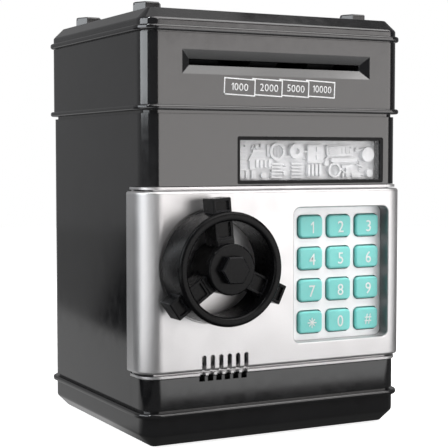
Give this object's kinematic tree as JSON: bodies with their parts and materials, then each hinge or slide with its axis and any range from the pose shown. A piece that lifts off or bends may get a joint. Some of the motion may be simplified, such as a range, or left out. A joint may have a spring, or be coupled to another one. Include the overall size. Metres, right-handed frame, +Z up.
{
  "type": "toy atm savings bank",
  "caption": "Box-shaped toy cash machine with a hinged silver door, handwheel latch, square keypad, lit window, powered note slot and coin slot in the lid.",
  "frame": {"origin": "middle of the overall footprint on the surface the rubber feet stand on", "axes": "+Z up, the door faces -Y, +X is to the right of someone facing the door"},
  "size_m": [0.1336, 0.1416, 0.1915],
  "materials": {
    "black_gloss": "polished",
    "black_satin": "satin",
    "silver_paint": "satin metallic paint",
    "teal_key": "satin",
    "pale_plate": "satin",
    "relief_white": "satin",
    "clear_lens": "polished",
    "rubber": "matt",
    "steel": "brushed",
    "zinc": "satin",
    "board_green": "satin",
    "grey_plastic": "matt",
    "gear_white": "satin",
    "cell_wrap": "satin",
    "lamp_clear": "polished",
    "silicone": "matt"
  },
  "bodies": {
    "case": {"base_tray": "black_gloss", "rubber_feet": "rubber", "battery_cover": "black_satin", "battery_screw": "zinc", "battery_box": "grey_plastic", "battery_cells": "cell_wrap", "battery_contacts": "steel", "speaker": "black_satin", "main_board": "board_green", "rear_shell": "black_gloss", "front_frame": "black_gloss", "safe_floor": "grey_plastic", "hinge_pins": "steel", "case_screws": "zinc", "strike_plate": "steel", "window_bezel": "black_satin", "window_lens": "clear_lens", "relief_panel": "relief_white", "indicator_leds": "lamp_clear", "led_board": "board_green", "upper_housing": "black_gloss", "mechanism_deck": "grey_plastic", "lid": "black_gloss", "corner_bolts": "black_gloss", "coin_chute": "grey_plastic", "roller_brackets": "grey_plastic", "note_guide": "grey_plastic", "feed_motor": "steel"},
    "door": {"door_shell": "silver_paint", "door_liner": "silver_paint", "keypad_plate": "pale_plate", "key_membrane": "silicone", "keypad_board": "board_green", "door_screws": "zinc", "lock_solenoid": "grey_plastic"},
    "wheel": {"handwheel": "black_satin", "wheel_bolt": "black_satin", "spindle": "steel", "latch_cam": "steel", "retaining_washer": "steel", "index_disc": "gear_white"},
    "plunger": {"lock_plunger": "steel"},
    "drive_roller": {"drive_shaft": "steel", "drive_rollers": "rubber", "drive_gear": "gear_white"},
    "idler_roller": {"idler_shaft": "steel", "idler_rollers": "rubber"},
    "motor_rotor": {"motor_pinion": "gear_white"},
    "key_1": {"key_1": "teal_key"},
    "key_2": {"key_2": "teal_key"},
    "key_3": {"key_3": "teal_key"},
    "key_4": {"key_4": "teal_key"},
    "key_5": {"key_5": "teal_key"},
    "key_6": {"key_6": "teal_key"},
    "key_7": {"key_7": "teal_key"},
    "key_8": {"key_8": "teal_key"},
    "key_9": {"key_9": "teal_key"},
    "key_star": {"key_star": "teal_key"},
    "key_0": {"key_0": "teal_key"},
    "key_hash": {"key_hash": "teal_key"}
  },
  "joints": [
    {"name": "door_hinge", "type": "hinge", "parent": "case", "child": "door", "pos_m": [0.062, -0.03574, 0.0715], "axis": [0, 0, 1], "range_deg": [0, 95]},
    {"name": "wheel_turn", "type": "hinge", "parent": "door", "child": "wheel", "pos_m": [-0.0343, -0.04854, 0.0781], "axis": [0, 1, 0], "range_deg": [0, 90]},
    {"name": "plunger_slide", "type": "slide", "parent": "door", "child": "plunger", "axis": [-1, 0, 0], "range_m": [0, 0.003], "stiffness_N_per_m": 40},
    {"name": "drive_roller_spin", "type": "hinge", "parent": "case", "child": "drive_roller", "pos_m": [0, -0.02854, 0.15885], "axis": [1, 0, 0], "continuous": true},
    {"name": "idler_roller_spin", "type": "hinge", "parent": "case", "child": "idler_roller", "pos_m": [0, -0.02854, 0.16965], "axis": [1, 0, 0], "continuous": true},
    {"name": "motor_spin", "type": "hinge", "parent": "case", "child": "motor_rotor", "pos_m": [0.048, -0.01177, 0.15274], "axis": [1, 0, 0], "continuous": true},
    {"name": "key_1_press", "type": "slide", "parent": "door", "child": "key_1", "axis": [0, 1, 0], "range_m": [0, 0.0012], "stiffness_N_per_m": 400},
    {"name": "key_2_press", "type": "slide", "parent": "door", "child": "key_2", "axis": [0, 1, 0], "range_m": [0, 0.0012], "stiffness_N_per_m": 400},
    {"name": "key_3_press", "type": "slide", "parent": "door", "child": "key_3", "axis": [0, 1, 0], "range_m": [0, 0.0012], "stiffness_N_per_m": 400},
    {"name": "key_4_press", "type": "slide", "parent": "door", "child": "key_4", "axis": [0, 1, 0], "range_m": [0, 0.0012], "stiffness_N_per_m": 400},
    {"name": "key_5_press", "type": "slide", "parent": "door", "child": "key_5", "axis": [0, 1, 0], "range_m": [0, 0.0012], "stiffness_N_per_m": 400},
    {"name": "key_6_press", "type": "slide", "parent": "door", "child": "key_6", "axis": [0, 1, 0], "range_m": [0, 0.0012], "stiffness_N_per_m": 400},
    {"name": "key_7_press", "type": "slide", "parent": "door", "child": "key_7", "axis": [0, 1, 0], "range_m": [0, 0.0012], "stiffness_N_per_m": 400},
    {"name": "key_8_press", "type": "slide", "parent": "door", "child": "key_8", "axis": [0, 1, 0], "range_m": [0, 0.0012], "stiffness_N_per_m": 400},
    {"name": "key_9_press", "type": "slide", "parent": "door", "child": "key_9", "axis": [0, 1, 0], "range_m": [0, 0.0012], "stiffness_N_per_m": 400},
    {"name": "key_star_press", "type": "slide", "parent": "door", "child": "key_star", "axis": [0, 1, 0], "range_m": [0, 0.0012], "stiffness_N_per_m": 400},
    {"name": "key_0_press", "type": "slide", "parent": "door", "child": "key_0", "axis": [0, 1, 0], "range_m": [0, 0.0012], "stiffness_N_per_m": 400},
    {"name": "key_hash_press", "type": "slide", "parent": "door", "child": "key_hash", "axis": [0, 1, 0], "range_m": [0, 0.0012], "stiffness_N_per_m": 400}
  ],
  "couplings": [
    {"joint": "idler_roller_spin", "follows": "drive_roller_spin", "ratio": -1.3333},
    {"joint": "motor_spin", "follows": "drive_roller_spin", "ratio": -2.4}
  ]
}
